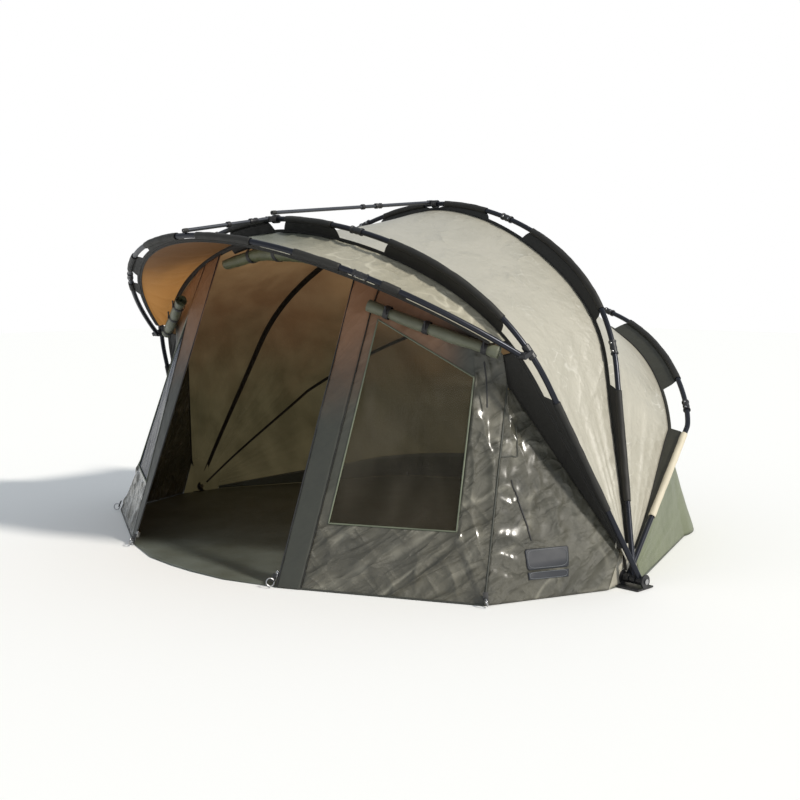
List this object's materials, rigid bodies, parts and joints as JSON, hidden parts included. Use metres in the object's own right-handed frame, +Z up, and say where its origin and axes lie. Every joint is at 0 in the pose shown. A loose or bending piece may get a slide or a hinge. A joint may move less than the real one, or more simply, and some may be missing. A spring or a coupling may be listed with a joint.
{
  "type": "bivvy tent",
  "caption": "Folding-rib bivvy tent: arched ribs on side pivots, projecting hood with tension bars, rolled-up door and window flaps, clear windows, groundsheet.",
  "frame": {"origin": "on the ground, under the tent's middle plane, midway between the two rib pivots", "axes": "+X across the tent along the pivot line, +Y towards the rear wall, so the doorway faces -Y, +Z up"},
  "size_m": [3.0186, 2.5275, 1.5428],
  "materials": {
    "pole": "black anodised, satin",
    "knuckle": "moulded, matt",
    "steel": "brushed",
    "web": "coated webbing cloth, matt",
    "canopy": "coated polyester, slight sheen",
    "wall": "coated polyester, slight sheen",
    "pane": "clear soft film, glossy",
    "groundsheet": "PVC-coated, semi-matt"
  },
  "bodies": {
    "base": {"groundsheet": "groundsheet", "pivot_block_left": "knuckle", "pivot_block_right": "knuckle", "axle_left": "steel", "axle_right": "steel", "rear_wall": "wall"},
    "rear_rib": {"rear_leg_left": "pole", "rear_leg_right": "pole", "rear_arc_left": "pole", "rear_arc_right": "pole", "rear_crown": "pole", "rear_knuckle_left": "knuckle", "rear_knuckle_right": "knuckle", "rear_collar_left": "knuckle", "rear_collar_right": "knuckle", "rear_web": "web", "back_canopy": "canopy"},
    "main_rib": {"main_leg_left": "pole", "main_leg_right": "pole", "main_arc_left": "pole", "main_arc_right": "pole", "main_crown": "pole", "main_knuckle_left": "knuckle", "main_knuckle_right": "knuckle", "main_collar_left": "knuckle", "main_collar_right": "knuckle", "main_web": "web", "main_lug": "knuckle", "mid_canopy": "canopy"},
    "front_rib": {"front_leg_left": "pole", "front_leg_right": "pole", "front_arc_left": "pole", "front_arc_right": "pole", "front_crown": "pole", "front_knuckle_left": "knuckle", "front_knuckle_right": "knuckle", "peak_clamp_left": "knuckle", "peak_clamp_right": "knuckle", "front_web": "web", "front_lug": "knuckle", "hood": "canopy", "side_panel_left": "wall", "side_panel_right": "wall", "window_panel_left": "wall", "window_panel_right": "wall", "window_pane_left": "pane", "window_pane_right": "pane", "rolled_flap_left": "wall", "rolled_flap_right": "wall", "rolled_door": "wall"},
    "peak_rib": {"peak_arc_left": "pole", "peak_arc_right": "pole", "peak_crown": "pole", "peak_knuckle_left": "knuckle", "peak_knuckle_right": "knuckle", "peak_web": "web"},
    "rear_bar": {"rear_bar": "pole"},
    "front_bar": {"front_bar": "pole"},
    "zip_left": {"zip_slider_left": "steel"},
    "zip_right": {"zip_slider_right": "steel"}
  },
  "joints": [
    {"name": "rear_rib_fold", "type": "hinge", "parent": "base", "child": "rear_rib", "pos_m": [0, 0, 0.03], "axis": [-1, 0, 0], "range_deg": [0, 34], "deforming": ["rear_wall"]},
    {"name": "main_rib_fold", "type": "hinge", "parent": "rear_rib", "child": "main_rib", "pos_m": [0, 0, 0.03], "axis": [-1, 0, 0], "range_deg": [0, 25], "deforming": ["back_canopy"]},
    {"name": "front_rib_fold", "type": "hinge", "parent": "main_rib", "child": "front_rib", "pos_m": [0, 0, 0.03], "axis": [-1, 0, 0], "range_deg": [0, 29], "deforming": ["mid_canopy"]},
    {"name": "peak_rib_fold", "type": "hinge", "parent": "front_rib", "child": "peak_rib", "pos_m": [0, -0.38583, 0.88981], "axis": [-1, 0, 0], "range_deg": [0, 26], "deforming": ["hood"]},
    {"name": "rear_bar_lift", "type": "hinge", "parent": "main_rib", "child": "rear_bar", "pos_m": [0, 0.37013, 1.53031], "axis": [-1, 0, 0], "range_deg": [0, 87]},
    {"name": "front_bar_lift", "type": "hinge", "parent": "front_rib", "child": "front_bar", "pos_m": [0, -0.60071, 1.42072], "axis": [-1, 0, 0], "range_deg": [0, 78]},
    {"name": "zip_left_slide", "type": "slide", "parent": "front_rib", "child": "zip_left", "axis": [0.022, 0.3442, 0.9386], "range_m": [0, 1.1]},
    {"name": "zip_right_slide", "type": "slide", "parent": "front_rib", "child": "zip_right", "axis": [-0.022, 0.3442, 0.9386], "range_m": [0, 1.1]}
  ],
  "couplings": [
    {"joint": "rear_bar_lift", "follows": "front_rib_fold", "ratio": 3},
    {"joint": "front_bar_lift", "follows": "peak_rib_fold", "ratio": 3}
  ]
}
